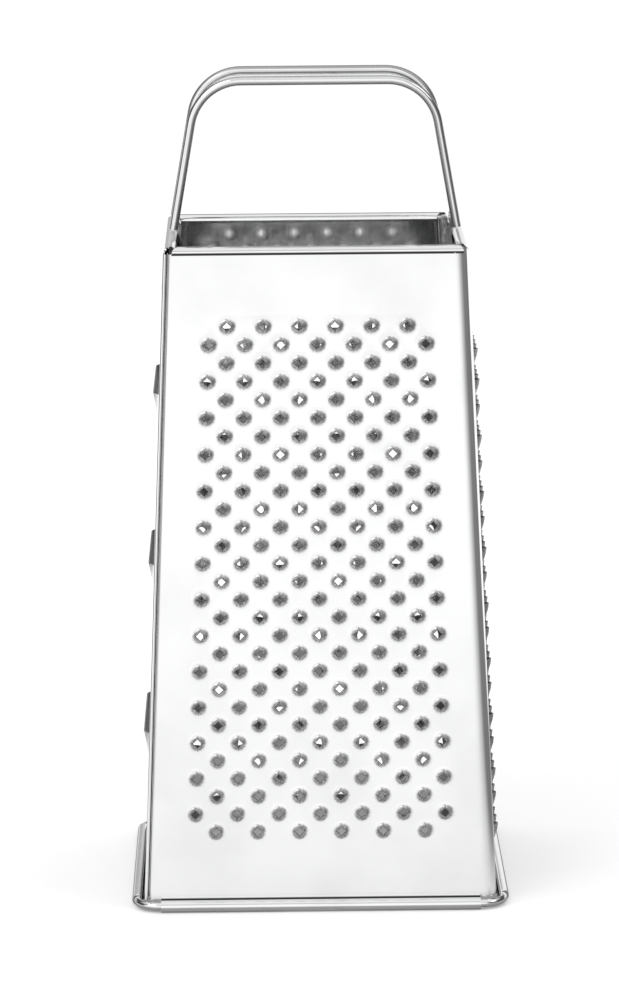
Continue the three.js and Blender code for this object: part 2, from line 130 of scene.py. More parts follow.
class Bench:
    """The edit-mode operators, in the form that the makers below use them."""

    @staticmethod
    def clear() -> None:
        """Leave edit mode and deselect every object."""
        active = bpy.context.view_layer.objects.active
        if active is not None and active.mode != "OBJECT":
            bpy.ops.object.mode_set(mode="OBJECT")
        bpy.ops.object.select_all(action="DESELECT")

    @staticmethod
    def choose(piece: Piece) -> None:
        """Select one piece alone and make it the active one."""
        Bench.clear()
        piece.select_set(True)
        bpy.context.view_layer.objects.active = piece

    @staticmethod
    def settle(piece: Piece) -> None:
        """Write a piece's place, turn and scale into its mesh."""
        Bench.choose(piece)
        bpy.ops.object.transform_apply(location=True, rotation=True, scale=True)

    @staticmethod
    def edit(piece: Piece) -> None:
        """Open one piece in edit mode."""
        Bench.choose(piece)
        bpy.ops.object.mode_set(mode="EDIT")

    @staticmethod
    def opened(name: str) -> Piece:
        """Name the primitive just added, settle it and open it, all selected.

        Args:
            name: The piece's name.

        Returns:
            The piece, in edit mode.
        """
        piece = bpy.context.object
        piece.name = piece.data.name = name
        Bench.settle(piece)
        Bench.edit(piece)
        bpy.ops.mesh.select_mode(type="VERT")
        Bench.pick_all()
        return piece

    @staticmethod
    def ring(name: str, sides: int, radius: float) -> Piece:
        """Start a piece from a flat ring of edges, open and selected."""
        Bench.clear()
        bpy.ops.mesh.primitive_circle_add(vertices=sides, radius=radius, fill_type="NOTHING")
        return Bench.opened(name)

    @staticmethod
    def chain(name: str, points: Sequence[Spot]) -> Piece:
        """Start a piece from a bent wire, drawn point by point.

        Args:
            name: The piece's name.
            points: The wire's corners.

        Returns:
            The piece, open, with the whole wire selected.
        """
        Bench.clear()
        bpy.ops.mesh.primitive_plane_add(size=1)
        piece = Bench.opened(name)
        bpy.ops.mesh.merge(type="CENTER")
        bpy.ops.transform.translate(value=points[0])
        Bench.pull_along(points)
        Bench.pick_all()
        return piece

    @staticmethod
    def pull(offset: Spot) -> None:
        """Extrude what is selected by an offset."""
        bpy.ops.mesh.extrude_region_move(TRANSFORM_OT_translate={"value": offset})

    @staticmethod
    def pull_along(points: Sequence[Spot]) -> None:
        """Extrude what is selected along a line that starts where the selection is."""
        for here, there in zip(points, points[1:]):
            Bench.pull(tuple(Vector(there) - Vector(here)))

    @staticmethod
    def draw(stations: Sequence[tuple[Spot, Spot]]) -> None:
        """Extrude what is selected from station to station and resize it at each.

        Args:
            stations: Middle and size of the selection at each, the first as it is.
        """
        for (here, size), (there, next_size) in zip(stations, stations[1:]):
            Bench.pull_along((here, there))
            Bench.resize([after / before for before, after in zip(size, next_size)], there)

    @staticmethod
    def resize(factors: Spot, centre: Spot) -> None:
        """Scale what is selected about a point."""
        bpy.ops.transform.resize(value=factors, center_override=centre)

    @staticmethod
    def spin(angle: float, steps: int, centre: Spot, axis: Spot) -> None:
        """Sweep what is selected round an axis, angle in degrees."""
        bpy.ops.mesh.spin(steps=steps, angle=math.radians(angle), center=centre, axis=axis)

    @staticmethod
    def pick_all() -> None:
        """Select the whole open piece."""
        bpy.ops.mesh.select_all(action="SELECT")

    @staticmethod
    def pick_points(test: Callable[[Vector], bool]) -> None:
        """Select the vertices whose place passes a test."""
        bpy.ops.mesh.select_mode(type="VERT")
        bpy.ops.mesh.select_all(action="DESELECT")
        data = bpy.context.edit_object.data
        mesh = bmesh.from_edit_mesh(data)
        for point in mesh.verts:
            point.select = test(point.co)
        mesh.select_flush_mode()
        bmesh.update_edit_mesh(data)

    @staticmethod
    def pick_edges(test: Callable[[bmesh.types.BMEdge], bool]) -> None:
        """Select the open edges, those with one face or none, that pass a test."""
        bpy.ops.mesh.select_mode(type="EDGE")
        bpy.ops.mesh.select_all(action="DESELECT")
        data = bpy.context.edit_object.data
        mesh = bmesh.from_edit_mesh(data)
        for edge in mesh.edges:
            if len(edge.link_faces) < 2 and test(edge):
                edge.select_set(True)
        bmesh.update_edit_mesh(data)

    @staticmethod
    def pick_borders(test: Callable[[Vector], bool]) -> None:
        """Select the open edges that have both ends where a test passes."""
        Bench.pick_edges(lambda edge: all(test(point.co) for point in edge.verts))

    @staticmethod
    def near(*spots: Vector) -> Callable[[Vector], bool]:
        """A test for being at one of a few places."""
        return lambda here: min((here - spot).length for spot in spots) < TOUCH

    @staticmethod
    def pick_between(*spots: Vector) -> None:
        """Select the open edges that run between a few places."""
        Bench.pick_borders(Bench.near(*spots))

    @staticmethod
    def mark_outline(radius: float) -> None:
        """Mark the outer ring of a round punched shape, once nothing more is extruded from it."""
        Bench.pick_borders(lambda spot: spot.length > radius - TOUCH)
        bpy.ops.mesh.mark_seam()

    @staticmethod
    def open_face(*corners: Vector) -> None:
        """Take out the open piece's face between four corners and mark its outline."""
        Bench.pick_points(Bench.near(*corners))
        bpy.ops.mesh.delete(type="ONLY_FACE")
        Bench.pick_between(*corners)
        bpy.ops.mesh.mark_seam()

    @staticmethod
    def move_point(start: Vector, end: Vector) -> None:
        """Move the vertex at one place to another."""
        Bench.pick_points(Bench.near(start))
        bpy.ops.transform.translate(value=end - start)

    @staticmethod
    def mark(piece: Piece, name: str, values: Sequence[float]) -> None:
        """Give every vertex of a closed piece a value for the finish to read."""
        marks = piece.data.attributes.new(name, "FLOAT", "POINT")
        marks.data.foreach_set("value", values)

    @staticmethod
    def join(base: Piece, others: Sequence[Piece]) -> None:
        """Join pieces into the first one."""
        Bench.clear()
        for piece in (base, *others):
            piece.select_set(True)
        bpy.context.view_layer.objects.active = base
        bpy.ops.object.join()

    @staticmethod
    def copy_to(pattern: Piece, place: Matrix) -> Piece:
        """Copy a modelled shape, with a mesh of its own, to a place.

        Args:
            pattern: The shape that was modelled once.
            place: Where the copy goes.

        Returns:
            The copy.
        """
        copy = pattern.copy()
        copy.data = pattern.data.copy()
        bpy.context.scene.collection.objects.link(copy)
        copy.matrix_world = place
        return copy

    @staticmethod
    def discard(piece: Piece) -> None:
        """Delete a pattern that has been copied."""
        Bench.choose(piece)
        bpy.ops.object.delete()

    @staticmethod
    def fill_between_marked() -> None:
        """Fill the open piece's flat sheet between its marked outlines, and clear the marks."""
        Bench.pick_edges(lambda edge: edge.seam)
        bpy.ops.mesh.fill(use_beauty=True)
        Bench.pick_all()
        bpy.ops.mesh.mark_seam(clear=True)

    @staticmethod
    def weld() -> None:
        """Merge the open piece's doubled vertices and turn all its faces the same way."""
        Bench.pick_all()
        bpy.ops.mesh.remove_doubles(threshold=WELD)
        bpy.ops.mesh.normals_make_consistent(inside=False)

    @staticmethod
    def thicken(piece: Piece, thickness: float) -> None:
        """Give a sheet its thickness, half to each side."""
        Bench.edit(piece)
        Bench.weld()
        Bench.choose(piece)
        wall = piece.modifiers.new("wall", "SOLIDIFY")
        wall.thickness = thickness
        wall.offset = 0.0
        wall.use_even_offset = True
        bpy.ops.object.modifier_apply(modifier=wall.name)

    @staticmethod
    def deliver(piece: Piece, node: str, turn: float, crease: float) -> None:
        """Turn a finished piece to its side, bring it to metres and hang it on the body.

        Args:
            piece: The piece, in millimetres.
            node: The CAD node that it stands for.
            turn: Turn about the upright axis, in radians.
            crease: Edges sharper than this angle, in degrees, stay sharp.
        """
        piece.rotation_euler = (0.0, 0.0, turn)
        piece.scale = (MM, MM, MM)
        Bench.settle(piece)
        bpy.ops.object.shade_smooth_by_angle(angle=math.radians(crease))
        flats = piece.modifiers.new("flats", "WEIGHTED_NORMAL")
        flats.keep_sharp = True
        flats.weight = 100
        bpy.ops.object.modifier_apply(modifier=flats.name)
        piece.name = piece.data.name = f"{node}_skin"
        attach(piece, "root")
        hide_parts(node)


class NodeBoard:
    """A node tree while it is being wired."""

    def __init__(self, tree: bpy.types.NodeTree) -> None:
        """Start from an empty tree."""
        self.tree = tree
        tree.nodes.clear()

    def add(self, kind: str, inputs: Mapping | None = None, **settings: object) -> bpy.types.Node:
        """Add a node.

        Args:
            kind: The node's type name.
            inputs: Names or numbers of input sockets, with a socket to link or a constant for each.
            **settings: Names of properties and their values.

        Returns:
            The node.
        """
        node = self.tree.nodes.new(kind)
        for name, value in settings.items():
            setattr(node, name, value)
        for name, value in (inputs or {}).items():
            if isinstance(value, Socket):
                self.tree.links.new(value, node.inputs[name])
            else:
                node.inputs[name].default_value = value
        return node

    def math(self, operation: str, first: object, second: object = 0.0) -> Socket:
        """Result of a math node, each operand a socket or a number."""
        return self.add("ShaderNodeMath", {0: first, 1: second}, operation=operation).outputs[0]

    def times(self, product: object, *factors: object) -> Socket:
        """Multiply sockets and numbers, in order.

        Args:
            product: What is multiplied first.
            *factors: The sockets or numbers that it is multiplied by.

        Returns:
            The product's socket.
        """
        for factor in factors:
            product = self.math("MULTIPLY", product, factor)
        return product

    def mix(self, kind: str, share: object, first: object, second: object) -> Socket:
        """Blend of two colours or numbers, with a share of the second."""
        inputs = {"Factor": share, "A": first, "B": second}
        return self.add("ShaderNodeMix", inputs, data_type=kind).outputs["Result"]

    def ramp(self, value: Socket, start: Plan, end: Plan) -> Socket:
        """Map a value smoothly from one range to another.

        Args:
            value: The socket to map.
            start: Lowest value in and what it becomes.
            end: Highest value in and what it becomes.

        Returns:
            The mapped socket.
        """
        inputs = {"Value": value, "From Min": start[0], "To Min": start[1]}
        inputs.update({"From Max": end[0], "To Max": end[1]})
        node = self.add("ShaderNodeMapRange", inputs, interpolation_type="SMOOTHSTEP")
        return node.outputs["Result"]

    def noise(self, spot: Socket, scale: float, detail: float) -> Socket:
        """A noise pattern with a number of spots per metre and of octaves."""
        inputs = {"Vector": spot, "Scale": scale, "Detail": detail}
        return self.add("ShaderNodeTexNoise", inputs).outputs["Fac"]

    def split(self, place: Socket) -> Sequence[Socket]:
        """Split a place into its X, Y and Z."""
        return self.add("ShaderNodeSeparateXYZ", {"Vector": place}).outputs


GRAIN_DETAIL = 3.0
HAZE, RIPPLE, SPECKLE = (42.0, 4.0), (26.0, 1.0), (1700.0, 2.0)  # scale and detail of each noise
# Shares of the colour kept: haze is the steel's own random tone; the inner, rough_and_shade and
# crevice marks darken it as painted shade.
HAZE_SHADE, INNER_SHADE, ROUGH_AND_SHADE_TONE, CREVICE_SHADE = 0.93, 0.5, 0.36, 0.04
WORKED_ROUGHNESS, INNER_ROUGHNESS = 0.45, 0.02


@dataclass(frozen=True)
class SteelFinish:
    """Bright stainless steel with polishing lines and haze; its marks make metal rougher and paint
    shade on the inside, in crevices, under rolled edges and on raised punched metal.
    """

    name: str
    slot: str
    colour: Spot
    roughness: float
    grain_scale: float
    grain: Grain = Grain.ALL_WAYS
    grain_depth: float = 1.5e-6
    ripple_depth: float = 2.0e-5
    speckle: float = 0.45

    def make(self) -> bpy.types.Material:
        """Build the material.

        Returns:
            The material.
        """
        material = bpy.data.materials.new(self.name)
        material.use_nodes = True
        board = NodeBoard(material.node_tree)
        place = board.add("ShaderNodeTexCoord").outputs["Object"]
        stretch = board.add("ShaderNodeMapping", {"Vector": place, "Scale": self.grain.value})
        lines = board.noise(stretch.outputs["Vector"], self.grain_scale, GRAIN_DETAIL)
        haze, ripple, speckle = (board.noise(place, *kind) for kind in (HAZE, RIPPLE, SPECKLE))
        # Vertex marks for painted shade, which also add roughness.
        rough_and_shade, inner, crevice = (
            board.add("ShaderNodeAttribute", attribute_name=name).outputs["Fac"]
            for name in (ROUGH_AND_SHADE, INNER, CREVICE)
        )

        rough = board.ramp(lines, (0.3, self.roughness * 0.75), (0.7, self.roughness * 1.25))
        for more in (
            board.ramp(haze, (0.5, 0.0), (0.8, self.roughness * 0.5)),
            board.times(rough_and_shade, WORKED_ROUGHNESS),
            board.times(inner, INNER_ROUGHNESS),
        ):
            rough = board.math("ADD", rough, more)

        colour = (*self.colour, 1.0)
        speckled = board.ramp(speckle, (0.35, 1 - self.speckle), (0.65, 1.0))
        # Haze varies the steel's tone at random; the inner, rough_and_shade and crevice shares are
        # painted shade, speckled on punched metal.
        for share, shade in (
            (board.ramp(haze, (0.4, 0.0), (0.75, 1.0)), HAZE_SHADE),
            (inner, INNER_SHADE),
            (board.times(rough_and_shade, speckled), ROUGH_AND_SHADE_TONE),
            (crevice, CREVICE_SHADE),
        ):
            darker = (*(shade * value for value in self.colour), 1.0)
            colour = board.mix("RGBA", share, colour, darker)

        waves = {"Height": ripple, "Distance": self.ripple_depth}
        scratches = {"Height": lines, "Distance": self.grain_depth}
        scratches["Normal"] = board.add("ShaderNodeBump", waves).outputs["Normal"]
        surface = {"Metallic": 1.0, "Base Color": colour, "Roughness": rough}
        surface["Normal"] = board.add("ShaderNodeBump", scratches).outputs["Normal"]
        shader = board.add("ShaderNodeBsdfPrincipled", surface)
        board.add("ShaderNodeOutputMaterial", {"Surface": shader.outputs["BSDF"]})
        return material

    def dress(self, piece: Piece) -> None:
        """Give a piece this finish."""
        material = bpy.data.materials.get(self.name) or self.make()
        piece.data.materials.clear()
        piece.data.materials.append(material)
        LOG.info("%s: %s, %d faces", piece.name, self.name, len(piece.data.polygons))


PANEL_STEEL = SteelFinish(
    "polished_sheet", "panel_steel", (0.96, 0.962, 0.965), roughness=0.08, grain_scale=2600.0,
    grain=Grain.UPRIGHT, grain_depth=1.0e-6, ripple_depth=5.0e-5,
)  # fmt: skip
HANDLE_STEEL = SteelFinish(
    "polished_strap", "handle_steel", (0.95, 0.952, 0.955), roughness=0.08, grain_scale=1800.0,
    grain_depth=1.0e-6, speckle=0.0,
)  # fmt: skip
WIRE_STEEL = SteelFinish(
    "drawn_wire", "wire_steel", (0.92, 0.922, 0.925), roughness=0.12, grain_scale=1500.0
)
RIVET_STEEL = SteelFinish(
    "rivet_metal", "rivet_steel", (0.92, 0.922, 0.925), roughness=0.16, grain_scale=2200.0,
    ripple_depth=1.0e-5,
)  # fmt: skip


@dataclass(frozen=True)
class Stock:
    """The sheet that the panels are folded from, in millimetres."""

    sheet: float = 0.4
    clearance: float = 0.3
    strip: float = 0.8
    lap: float = 2.6
    ease: float = 1.35
    fold_steps: int = 10
    step_reach: float = 0.45
    step_pieces: int = 3

    @property
    def layer(self) -> float:
        """From one layer of a seam to the next."""
        return self.sheet + self.clearance

    def depth(self, layer: int) -> float:
        """Depth of the middle of a seam's layer under the face."""
        return self.sheet / 2 + layer * self.layer

    def bend_start(self, bend: float) -> float:
        """From the corner to where its eased bend starts, along the panel that is bent."""
        return self.sheet / 2 + (bend - self.sheet / 2) * self.ease

    def fold_inset(self, bend: float) -> float:
        """From the corner to the fold, along the next panel."""
        return bend + self.strip

    def fold_centre(self, bend: float) -> float:
        """From the corner to the middle of the fold."""
        return self.fold_inset(bend) + self.layer + self.sheet / 2

    def left_fold(self, bend: float) -> list[Plan]:
        """Plan of a panel's left edge.

        Args:
            bend: Outer radius of the corner bend beside it.

        Returns:
            Distances in from the corner and depths, from the face to the flap's end.
        """
        centre = self.fold_centre(bend)
        turn = arc((centre, self.depth(1)), self.layer, 270, 90, self.fold_steps)
        return [*turn, (centre + self.lap, self.depth(2))]

    def right_return(self, bend: float) -> list[Plan]:
        """Plan of a panel's right edge, round the corner and into the next panel's fold.

        Args:
            bend: Outer radius of the corner bend.

        Returns:
            Distances in from the corner and depths, from the face to the hook's end.
        """
        dive = self.fold_inset(bend) - self.clearance - self.sheet / 2
        hook = self.fold_centre(bend) + self.lap
        circle = arc((bend, bend), bend - self.sheet / 2, 180, 270, self.fold_steps)
        corner = [(distance, self.bend_start(depth)) for distance, depth in circle]
        face, bottom = self.depth(0), self.depth(3)
        jog = [corner[-1], (dive, face), (dive, bottom), (hook, bottom)]
        step = softened(jog, self.step_reach, self.step_pieces)
        turn = arc((hook, self.depth(2)), self.layer, 90, -90, self.fold_steps)
        along = [*corner, *step[1:-1], *turn, (self.fold_centre(bend), self.depth(1))]
        return [(depth, distance) for distance, depth in along]


STOCK = Stock()


@dataclass(frozen=True)
class Rim:
    """The rolled top edge and the hem round the wire, in millimetres."""

    height: float = 185.0
    roll: float = 3.6
    roll_steps: int = 16
    lip: float = 0.6
    neck: float = 0.45
    neck_line: Sequence[Plan] = ((0.0, 0.0), (0.01, 0.12), (0.03, 0.6))
    neck_lean: float = 14.0
    # Heights of the bands darkened with painted shade: over the hem, and under the rim bead.
    hem_crevice: Plan = (2.4, 3.45)
    neck_crevices: Sequence[Plan] = ((182.8, 183.1), (183.3, 183.5))
    ear: float = 1.8
    ear_slope: float = 0.85
    corner_drop: float = 1.0
    wire: float = 2.2
    wire_gap: float = 0.15
    wire_bend: float = 4.0
    hem_reach: float = 2.0
    hem_turn: float = 285.0
    hem_steps: int = 24
    hem_play: float = 0.01
    flare_height: float = 4.0
    flare_knee: Plan = (-0.12, 3.0)
    flare_ease: float = 1.2
    flare_steps: int = 4
    relief: float = 0.6
    notch: float = 0.45

    @property
    def roll_base(self) -> float:
        """Height of the roll's middle."""
        return self.height - self.roll / 2

    @property
    def hem_radius(self) -> float:
        """From the wire's middle to the middle of the sheet wrapped round it."""
        return self.wire / 2 + self.wire_gap + STOCK.sheet / 2

    @property
    def wire_height(self) -> float:
        """Height of the wire's middle."""
        return self.hem_radius + STOCK.sheet / 2

    def hem_line(self) -> list[Plan]:
        """Section of the hem.

        Returns:
            Distances out from the face and heights, from the face down, under the wire and over it.
        """
        radius = self.hem_radius - self.hem_play
        wrap = [
            (self.hem_reach - across, self.wire_height - up)
            for across, up in arc((0.0, 0.0), radius, 0, self.hem_turn, self.hem_steps)
        ]
        jog = [(-STOCK.sheet / 2, self.flare_height), self.flare_knee, wrap[0]]
        flare = softened(jog, self.flare_ease, self.flare_steps)
        return [*flare[:-1], *wrap]


RIM = Rim()
RAISED_SHADE_FROM, RAISED_SHADE_GAIN = 0.05, 2.5  # rise where punched metal starts to turn rougher and darker with painted shade, and how soon it does
SLOT_MARGIN = 0.3  # width of the flat ring round a slot
SAME_WAY = 0.99  # directions with a larger dot product are the same


@dataclass
class FoldedPanel:
    """One side of the body: a leaning sheet with corner folds, a rolled rim and a hem."""

    side: Side
    top_width: float
    base_width: float
    top_reach: float
    base_reach: float
    left_bend: float
    right_bend: float
    rivet_places: Sequence[float] = ()
    rivet_height: float = 168.5
    rivet_hole: float = 1.6
    hole_margin: float = 1.2
    hole_sides: int = 16
    crease: float = 68.0
    face_band: float = 0.45
    hem_end_play: float = 0.05
    cap_play: float = 0.5
    # Painted shade on the inner side: the height where it starts to deepen, over how far, and its
    # least and most share.
    shade_from: float = 150.0
    shade_over: float = 20.0
    shade_limits: Plan = (0.5, 0.85)

    @property
    def node(self) -> str:
        """The CAD node that this panel stands for."""
        return f"{self.side.name.lower()}_panel"

    def share(self, height: float) -> float:
        """How far up the leaning face a height is, from 0 to 1."""
        return (height - RIM.flare_height) / (RIM.roll_base - RIM.flare_height)

    def reach(self, height: float) -> float:
        """From the upright axis to the outer face."""
        return self.base_reach + (self.top_reach - self.base_reach) * self.share(height)

    def on_sheet(self, along: float, height: float) -> Vector:
        """A place in the middle of the sheet."""
        return Vector((along, STOCK.sheet / 2 - self.reach(height), height))

    def place(self, along: float, height: float) -> Matrix:
        """Frame of a punched shape: X along the face, Y up its slope, Z outwards."""
        lean = math.atan2(self.base_reach - self.top_reach, RIM.roll_base - RIM.flare_height)
        turn = Matrix.Rotation(math.pi / 2 - lean, 4, "X")
        return Matrix.Translation(self.on_sheet(along, height)) @ turn

    def corners(self) -> dict[str, list[Vector]]:
        """Places of the blank's eight vertices.

        Returns:
            The base row and the top row, from left to right.
        """
        rows = {}
        fold, bend = STOCK.fold_centre(self.left_bend), STOCK.bend_start(self.right_bend)
        hem = (max(fold, RIM.wire_bend) + RIM.relief, max(bend, RIM.wire_bend) + RIM.relief)
        rim = (fold + STOCK.sheet / 2, bend + STOCK.sheet / 2)
        for name, width, end, inner, insets in (
            ("base", self.base_width, RIM.flare_height - RIM.corner_drop, RIM.flare_height, hem),
            ("top", self.top_width, RIM.roll_base, RIM.roll_base - RIM.neck, rim),
        ):
            half = width / 2
            row = (fold - half, insets[0] - half, half - insets[1], half - bend)
            heights = (end, inner, inner, end)
            rows[name] = [self.on_sheet(along, height) for along, height in zip(row, heights)]
        return rows

    def blank(self) -> Piece:
        """Lay out the face, with its middle left open for the punched pattern.

        Returns:
            The panel, in edit mode, with the opening's outline marked.
        """
        Bench.clear()
        bpy.ops.mesh.primitive_grid_add(x_subdivisions=3, y_subdivisions=1, size=2)
        panel = Bench.opened(self.node)
        rows = self.corners()
        for level, name in ((-1.0, "base"), (1.0, "top")):
            for column, target in zip((-1.0, -1 / 3, 1 / 3, 1.0), rows[name]):
                Bench.move_point(Vector((column, level, 0.0)), target)
        Bench.open_face(*rows["base"][1:3], *rows["top"][1:3])
        return panel

    def patterns(self) -> Patterns:
        """Punched shapes and their places; a plain panel has none."""
        return []

    def drilled_hole(self) -> Piece:
        """Model the flat ring round a rivet hole.

        Returns:
            The ring, with its outline marked.
        """
        outline = self.rivet_hole * self.hole_margin
        hole = Bench.ring("drilled_hole", self.hole_sides, outline)
        Bench.pull((0.0, 0.0, 0.0))
        inwards = 1 / self.hole_margin
        Bench.resize((inwards, inwards, 1.0), (0.0, 0.0, 0.0))
        Bench.mark_outline(outline)
        Bench.clear()
        return hole

    def punch(self, panel: Piece) -> None:
        """Set every punched shape and rivet hole in the face and fill the sheet between them."""
        patterns = self.patterns()
        if self.rivet_places:
            places = [self.place(along, self.rivet_height) for along in self.rivet_places]
            patterns.append((self.drilled_hole(), places))
        copies = []
        for shape, places in patterns:
            copies.extend(Bench.copy_to(shape, place) for place in places)
            Bench.discard(shape)
        Bench.join(panel, copies)
        Bench.edit(panel)
        Bench.fill_between_marked()

    def fold_edges(self) -> None:
        """Fold the open panel's left flap and its right return."""
        rows = self.corners()
        left = [(p, q, 0.0) for p, q in STOCK.left_fold(self.left_bend)]
        Bench.pick_between(rows["base"][0], rows["top"][0])
        Bench.pull_along(left)
        right = [(-p, q, 0.0) for p, q in STOCK.right_return(self.right_bend)]
        Bench.pick_between(rows["base"][3], rows["top"][3])
        Bench.pull_along(right)
        self.raise_ear()

    def raise_ear(self) -> None:
        """Raise the top of the open panel's right bend beside the end of the bead."""
        for distance, depth in STOCK.right_return(self.right_bend)[: STOCK.fold_steps + 1]:
            if distance < RIM.ear:
                top = Vector((self.top_width / 2 - distance, depth - self.top_reach, RIM.roll_base))
                Bench.move_point(top, top + Vector((0.0, 0.0, RIM.ear_slope * distance)))

    @property
    def square_end(self) -> bool:
        """Whether the rim roll's left end is cut square, behind a wide bend."""
        return STOCK.fold_inset(self.left_bend) > RIM.roll

    def roll_ends(self, depth: float) -> Plan:
        """Both ends of the rim roll, mitred towards the corners.

        Args:
            depth: Depth under the outer face.

        Returns:
            Places along the face.
        """
        half = self.top_width / 2
        left = STOCK.fold_inset(self.left_bend)
        if not self.square_end:
            left = STOCK.fold_centre(self.left_bend) + depth
        return left - half, half - RIM.notch * self.right_bend - depth

    def roll_rim(self) -> None:
        """Roll the open panel's top edge inwards over its neck, and shut a square left end."""
        first, second = self.corners()["top"][1:3]
        radius = (RIM.roll - STOCK.sheet) / 2
        roll = arc((RIM.roll / 2, RIM.roll_base), radius, 180 - RIM.neck_lean, 0, RIM.roll_steps)
        face = STOCK.sheet / 2
        neck = [(face + inwards, first.z + up) for inwards, up in RIM.neck_line]
        line = [*neck, *roll, (roll[-1][0], RIM.roll_base - RIM.lip)]
        stations = [(((first.x + second.x) / 2, *line[0]), (second.x - first.x, 1.0, 1.0))]
        left_end = []
        for depth, height in line[1:]:
            left, right = self.roll_ends(depth)
            stations.append((((left + right) / 2, depth, height), (right - left, 1.0, 1.0)))
            left_end.append(Vector((left, first.y + depth - face, height)))
        Bench.pick_between(first, second)
        Bench.draw(stations)
        if self.square_end:
            Bench.pick_between(*left_end)
            bpy.ops.mesh.edge_face_add()

    def wrap_hem(self) -> None:
        """Flare the open panel's bottom edge out and wrap it round the wire."""
        Bench.pick_between(*self.corners()["base"][1:3])
        Bench.pull_along([(0.0, -out, height) for out, height in RIM.hem_line()])

    def crevices(self, points: Sequence[bpy.types.MeshVertex]) -> list[float]:
        """Which vertices lie in the crevice over the hem or under the rim bead, where shade is
        painted.

        Args:
            points: The panel's vertices.

        Returns:
            One for each that does and zero for each other.
        """
        first, last = (corner.x for corner in self.corners()["base"][1:3])
        bead = self.roll_ends(0.0)[0] + self.cap_play if self.square_end else -math.inf
        low_hem, high_hem = RIM.hem_crevice

        def inside(point: bpy.types.MeshVertex) -> bool:
            """Whether one vertex does."""
            along, depth, height = point.co
            on_hem = first - self.hem_end_play < along < last + self.hem_end_play
            over_hem = on_hem and low_hem < height < high_hem
            at_neck = any(low < height < high for low, high in RIM.neck_crevices)
            at_face = abs(depth + self.reach(height)) < self.face_band
            outside = at_face and point.normal.y < -OUTWARD
            return outside and (over_hem or (at_neck and along > bead))

        return [float(inside(point)) for point in points]

    def shade_share(self, point: bpy.types.MeshVertex) -> float:
        """How much painted shade darkens the sheet at a vertex, also making it a little rougher:
        its inner side gets it, and more so towards the rim.
        """
        if point.normal.y <= OUTWARD or point.co.z >= RIM.roll_base - RIM.roll / 2:
            return 0.0
        least, most = self.shade_limits
        return min(max((point.co.z - self.shade_from) / self.shade_over, least), most)

    def build(self) -> None:
        """Model the panel, mark painted shade on its inner side and in its crevices, and dress it.
        """
        panel = self.blank()
        self.punch(panel)
        self.fold_edges()
        self.roll_rim()
        self.wrap_hem()
        Bench.thicken(panel, STOCK.sheet)
        points = panel.data.vertices
        Bench.mark(panel, INNER, [self.shade_share(point) for point in points])
        Bench.mark(panel, CREVICE, self.crevices(points))
        Bench.deliver(panel, self.node, self.side.turn, self.crease)
        PANEL_STEEL.dress(panel)


@dataclass(frozen=True)
class Rows:
    """Staggered rows of punched shapes that fan out downwards, in millimetres."""

    rows: int
    row_pitch: float
    top_row: float
    pitches: Plan
    shapes: tuple[int, int]

    def spots(self) -> Iterator[Plan]:
        """Go through the shapes, row by row from the top.

        Yields:
            Each shape's place along the face, and its height.
        """
        first, last = self.pitches
        for row in range(self.rows):
            shapes = self.shapes[row % 2]
            pitch = first + (last - first) * row / (self.rows - 1)
            for index in range(shapes):
                yield (index - (shapes - 1) / 2) * pitch, self.top_row - row * self.row_pitch


def mark_raised_shade(shape: Piece, edge: float) -> None:
    """Mark how far a punched shape's metal was stretched, up to the height where it is torn; the
    mark makes it rougher and darkens it with painted shade.
    """
    rises = [point.co.z - RAISED_SHADE_FROM for point in shape.data.vertices]
    Bench.mark(shape, ROUGH_AND_SHADE, [min(max(RAISED_SHADE_GAIN * rise / edge, 0.0), 1.0) for rise in rises])


def ring_the_slot(slot: Sequence[Spot], half: float, length: float, mouth: float) -> None:
    """Close the flat outline of an open punched shape and lay a flat ring round it.

    Args:
        slot: Corners of the slot over the edge, from the left end of the edge to the right one.
        half: Half the width of the shape.
        length: From the edge down to the lower end.
        mouth: Height of the slot.
    """
    Bench.pick_points(Bench.near(Vector(slot[0])))
    Bench.pull_along(slot)
    Bench.pick_all()
    bpy.ops.mesh.remove_doubles(threshold=TOUCH)
    Bench.pick_borders(lambda spot: abs(spot.z) < WELD)
    Bench.pull((0.0, 0.0, 0.0))
    tall = (length + mouth) / 2
    wider, taller = 1 + SLOT_MARGIN / half, 1 + SLOT_MARGIN / tall
    Bench.resize((wider, taller, 1.0), (0.0, mouth - tall, 0.0))
    bpy.ops.mesh.mark_seam()


